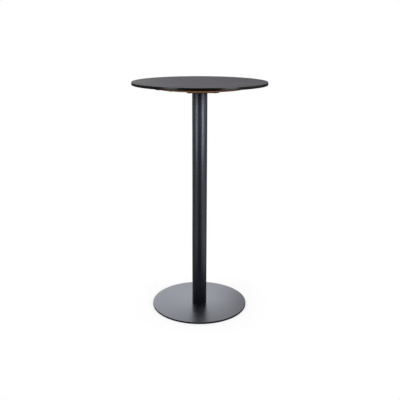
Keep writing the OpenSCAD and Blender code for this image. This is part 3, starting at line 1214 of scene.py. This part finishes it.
def make_floor():
    """Pale floor with a soft shadow, plain white further off and clear from below; in reflections
    it shows painted light and shade.
    """
    deselect()
    bpy.ops.mesh.primitive_plane_add(size=FLOOR_SIZE, location=(0, 0, 0))
    floor = bpy.context.object
    floor.name = "floor"
    material = bpy.data.materials.new("pale_floor")
    material.use_nodes = True
    tree = material.node_tree
    tree.nodes.remove(tree.nodes["Principled BSDF"])
    place = object_vector(tree)
    path = add_node(tree, "ShaderNodeLightPath").outputs
    # Only reflections see the floor's painted light and shade
    tone = mix_values(tree, path["Is Glossy Ray"], FLOOR_WHITE, mirrored_floor(tree, place))
    gray = add_node(tree, "ShaderNodeCombineColor", {0: tone, 1: tone, 2: tone}).outputs[0]
    paint = add_node(tree, "ShaderNodeBsdfDiffuse", {"Color": gray}).outputs[0]
    distance = radius_of(tree, place)
    level = remap(tree, distance, CLEAR_RADIUS, WHITE_RADIUS, NEAR_WHITE, 1.0)
    white = add_node(
        tree, "ShaderNodeEmission", {"Color": (1, 1, 1, 1), "Strength": level}
    ).outputs[0]
    share = remap(tree, distance, CLEAR_RADIUS, WHITE_RADIUS, 1 - SHADOW_SHARE, 1.0)
    share = times(tree, share, path["Is Camera Ray"])
    shown = add_node(tree, "ShaderNodeMixShader", {0: share, 1: paint, 2: white}).outputs[0]
    from_below = add_node(tree, "ShaderNodeNewGeometry").outputs["Backfacing"]
    near = calculate(tree, "LESS_THAN", path["Ray Length"], UNDERSIDE_GAP)
    near = minus(tree, near, path["Is Camera Ray"])
    share = calculate(tree, "MAXIMUM", from_below, near)
    clear = add_node(tree, "ShaderNodeBsdfTransparent").outputs[0]
    both = add_node(tree, "ShaderNodeMixShader", {0: share, 1: shown, 2: clear}).outputs[0]
    feed(tree, tree.nodes["Material Output"], {"Surface": both})
    floor.data.materials.append(material)


def make_world():
    """White to the camera, plain light on matte surfaces, and in reflections a dark front."""
    world = bpy.data.worlds.new("studio")
    bpy.context.scene.world = world
    world.use_nodes = True
    tree = world.node_tree
    path = add_node(tree, "ShaderNodeLightPath").outputs
    direction = add_node(tree, "ShaderNodeTexCoord").outputs["Generated"]
    depth = along(tree, direction, turned(0, 1, 0))
    right = along(tree, direction, turned(1, 0, 0))
    height = along(tree, direction, turned(0, 0, 1))
    back = remap(tree, right, *LEFT_TO_RIGHT, BACK_LEFT_LEVEL, BACK_RIGHT_LEVEL)
    front = remap(tree, height, *TO_HIGH, FRONT_LEVEL, FRONT_HIGH_LEVEL)
    mirrored = plus(
        tree,
        mix_values(tree, remap(tree, depth, *TO_BACK), front, back),
        remap(tree, right, *TO_SIDE, 0.0, RIGHT_LEVEL),
        remap(tree, times(tree, right, -1.0), *TO_SIDE, 0.0, LEFT_LEVEL),
    )
    strength = mix_values(tree, path["Is Glossy Ray"], ROOM_LIGHT, mirrored)
    strength = mix_values(tree, path["Is Camera Ray"], strength, 1.0)
    feed(tree, tree.nodes["Background"], {"Color": (1, 1, 1, 1), "Strength": strength})


def add_panel(name, position, target, width, height, level):
    """Soft rectangular light with a given brightness of its surface."""
    data = bpy.data.lights.new(name, "AREA")
    data.shape = "RECTANGLE"
    data.size = width
    data.size_y = height
    data.energy = level * width * height * math.pi
    panel = bpy.data.objects.new(name, data)
    panel.location = position
    panel.rotation_euler = (target - position).to_track_quat("-Z", "Y").to_euler()
    panel.visible_camera = False
    bpy.context.scene.collection.objects.link(panel)
    return panel


def make_lights(base_plate):
    """Two softboxes in front, a light above and two panels behind the table."""
    # Seen from behind, the base plate would mirror the softboxes as plain white
    spared = bpy.data.collections.new("spared_by_softboxes")
    spared.objects.link(base_plate)
    spared.collection_objects[0].light_linking.link_state = "EXCLUDE"
    for name, place, width, level in (
        ("left_softbox", LEFT_BOX_PLACE, LEFT_BOX_WIDTH, LEFT_BOX_LEVEL),
        ("right_softbox", RIGHT_BOX_PLACE, RIGHT_BOX_WIDTH, RIGHT_BOX_LEVEL),
    ):
        softbox = add_panel(
            name, turned(*place, SOFTBOX_CENTRE), Vector((0, 0, SOFTBOX_CENTRE)),
            width, SOFTBOX_HEIGHT, level,
        )
        softbox.light_linking.receiver_collection = spared
    add_panel(
        "top_light", Vector((0, 0, TOP_LIGHT_HEIGHT)), Vector((0, 0, 0)),
        TOP_LIGHT_SIZE, TOP_LIGHT_SIZE, TOP_LIGHT_LEVEL,
    )
    place = turned(*BACK_PANEL_PLACE)
    add_panel(
        "back_panel", place, Vector((0, 0, place.z)),
        BACK_PANEL_WIDTH, BACK_PANEL_HEIGHT, BACK_PANEL_LEVEL,
    )
    top_middle = Vector((0, 0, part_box("tabletop")[1].z))
    add_panel(
        "high_panel", turned(*HIGH_PANEL_PLACE), top_middle,
        HIGH_PANEL_WIDTH, HIGH_PANEL_HEIGHT, HIGH_PANEL_LEVEL,
    )


def make_camera():
    data = bpy.data.cameras.new("camera")
    data.sensor_fit = "HORIZONTAL"
    data.sensor_width = SENSOR_WIDTH
    data.lens = FOCAL_PIXELS / IMAGE_SIZE * SENSOR_WIDTH
    camera = bpy.data.objects.new("camera", data)
    yaw = VIEW_TURN - math.atan((IMAGE_CENTRE - AXIS_PIXEL) / FOCAL_PIXELS)
    turn = (
        Matrix.Rotation(yaw, 4, "Z")
        @ Matrix.Rotation(math.pi / 2 - CAMERA_PITCH, 4, "X")
        @ Matrix.Rotation(CAMERA_ROLL, 4, "Z")
    )
    place = turned(0, -CAMERA_DISTANCE, CAMERA_HEIGHT)
    camera.matrix_world = Matrix.Translation(place) @ turn
    bpy.context.scene.collection.objects.link(camera)
    bpy.context.scene.camera = camera


make_floor()
make_world()
make_lights(base_plate)
make_camera()
bpy.context.scene.view_settings.view_transform = "Standard"
